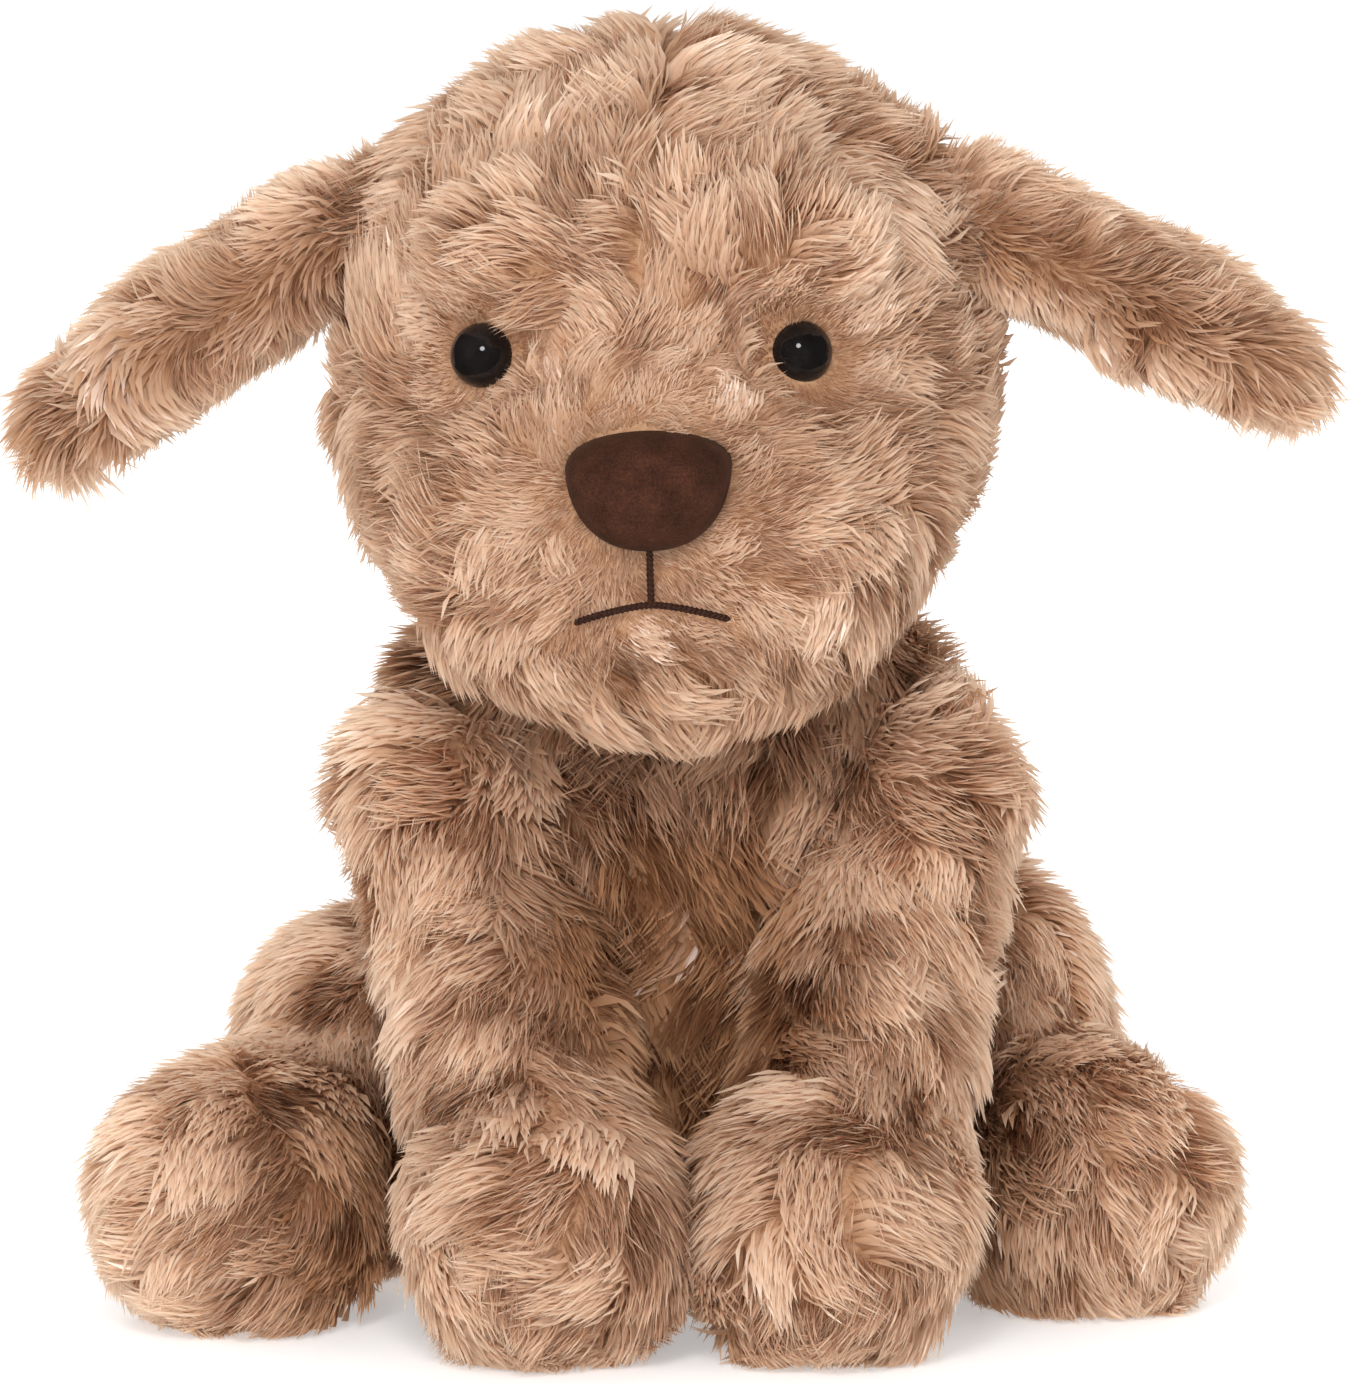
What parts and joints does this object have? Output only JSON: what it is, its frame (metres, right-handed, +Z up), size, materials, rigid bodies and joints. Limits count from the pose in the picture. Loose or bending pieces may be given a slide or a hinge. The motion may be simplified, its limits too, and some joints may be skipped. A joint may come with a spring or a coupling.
{
  "type": "plush dog",
  "caption": "Seated floppy-eared plush dog in shaggy tan fur fabric, with domed eyes, a suede nose, a stitched mouth, a turning head and legs and ears that flex",
  "frame": {"origin": "the middle of the flat seat that the toy sits on", "axes": "+Z up, the dog faces -Y, its own left side is +X"},
  "size_m": [0.208, 0.1795, 0.2095],
  "materials": {
    "fur": "shaggy, wavy tan plush pile with pale silky tips",
    "filling": "white polyester fibre filling",
    "eye": "polished black plastic",
    "washer": "white moulded plastic",
    "nose_suede": "dark brown brushed suede cloth",
    "mouth_thread": "dark brown twisted embroidery thread",
    "seam_thread": "tan sewing thread",
    "pouch_cloth": "plain white woven cloth",
    "pellet": "white plastic pellets, as one mass"
  },
  "bodies": {
    "torso": {"torso_left_panel": "fur", "torso_right_panel": "fur", "seat_panel": "fur", "torso_filling": "filling", "pellet_pouch": "pouch_cloth", "pellets": "pellet", "back_seam_thread": "seam_thread"},
    "neck_seam": {"neck_thread": "seam_thread"},
    "head": {"head_left_panel": "fur", "head_right_panel": "fur", "chin_panel": "fur", "head_filling": "filling", "eye_left": "eye", "eye_right": "eye", "eye_washer_left": "washer", "eye_washer_right": "washer", "nose_cover": "nose_suede", "nose_padding": "filling", "lip_thread": "mouth_thread", "mouth_thread_left": "mouth_thread", "mouth_thread_right": "mouth_thread"},
    "tail": {"tail_panel": "fur", "tail_filling": "filling"},
    "ear_left": {"ear_left_upper_layer": "fur", "ear_left_lower_layer": "fur"},
    "front_leg_left": {"front_leg_left_outer_panel": "fur", "front_leg_left_inner_panel": "fur", "front_leg_left_filling": "filling"},
    "hind_leg_left": {"hind_leg_left_outer_panel": "fur", "hind_leg_left_inner_panel": "fur", "hind_leg_left_filling": "filling"},
    "ear_right": {"ear_right_upper_layer": "fur", "ear_right_lower_layer": "fur"},
    "front_leg_right": {"front_leg_right_outer_panel": "fur", "front_leg_right_inner_panel": "fur", "front_leg_right_filling": "filling"},
    "hind_leg_right": {"hind_leg_right_outer_panel": "fur", "hind_leg_right_inner_panel": "fur", "hind_leg_right_filling": "filling"}
  },
  "joints": [
    {"name": "head_turn", "type": "hinge", "parent": "torso", "child": "neck_seam", "pos_m": [0, -0.022, 0.099], "axis": [0, 0, 1], "range_deg": [-18, 18], "stiffness_Nm_per_rad": 0.4},
    {"name": "head_nod", "type": "hinge", "parent": "neck_seam", "child": "head", "pos_m": [0, -0.022, 0.099], "axis": [0.9962, -0.0872, 0], "range_deg": [-8, 3], "stiffness_Nm_per_rad": 0.8},
    {"name": "ear_left_lift", "type": "hinge", "parent": "head", "child": "ear_left", "pos_m": [0.04986, -0.02636, 0.17761], "axis": [0.0872, 0.9962, 0], "range_deg": [-40, 12], "stiffness_Nm_per_rad": 0.06},
    {"name": "front_leg_left_swing", "type": "hinge", "parent": "torso", "child": "front_leg_left", "pos_m": [0.036, -0.03, 0.082], "axis": [-1, 0, 0], "range_deg": [0, 25], "stiffness_Nm_per_rad": 0.3},
    {"name": "hind_leg_left_splay", "type": "hinge", "parent": "torso", "child": "hind_leg_left", "pos_m": [0.048, -0.007, 0.03], "axis": [0, 0, 1], "range_deg": [0, 40], "stiffness_Nm_per_rad": 0.2},
    {"name": "ear_right_lift", "type": "hinge", "parent": "head", "child": "ear_right", "pos_m": [-0.05468, -0.01722, 0.17431], "axis": [-0.0872, -0.9962, 0], "range_deg": [-40, 4], "stiffness_Nm_per_rad": 0.06},
    {"name": "front_leg_right_swing", "type": "hinge", "parent": "torso", "child": "front_leg_right", "pos_m": [-0.036, -0.03, 0.082], "axis": [-1, 0, 0], "range_deg": [0, 25], "stiffness_Nm_per_rad": 0.3},
    {"name": "hind_leg_right_splay", "type": "hinge", "parent": "torso", "child": "hind_leg_right", "pos_m": [-0.048, -0.007, 0.03], "axis": [0, 0, -1], "range_deg": [0, 40], "stiffness_Nm_per_rad": 0.2},
    {"name": "tail_wag", "type": "hinge", "parent": "torso", "child": "tail", "pos_m": [0, 0.046, 0.024], "axis": [0, 0, 1], "range_deg": [-25, 25], "stiffness_Nm_per_rad": 0.03}
  ]
}
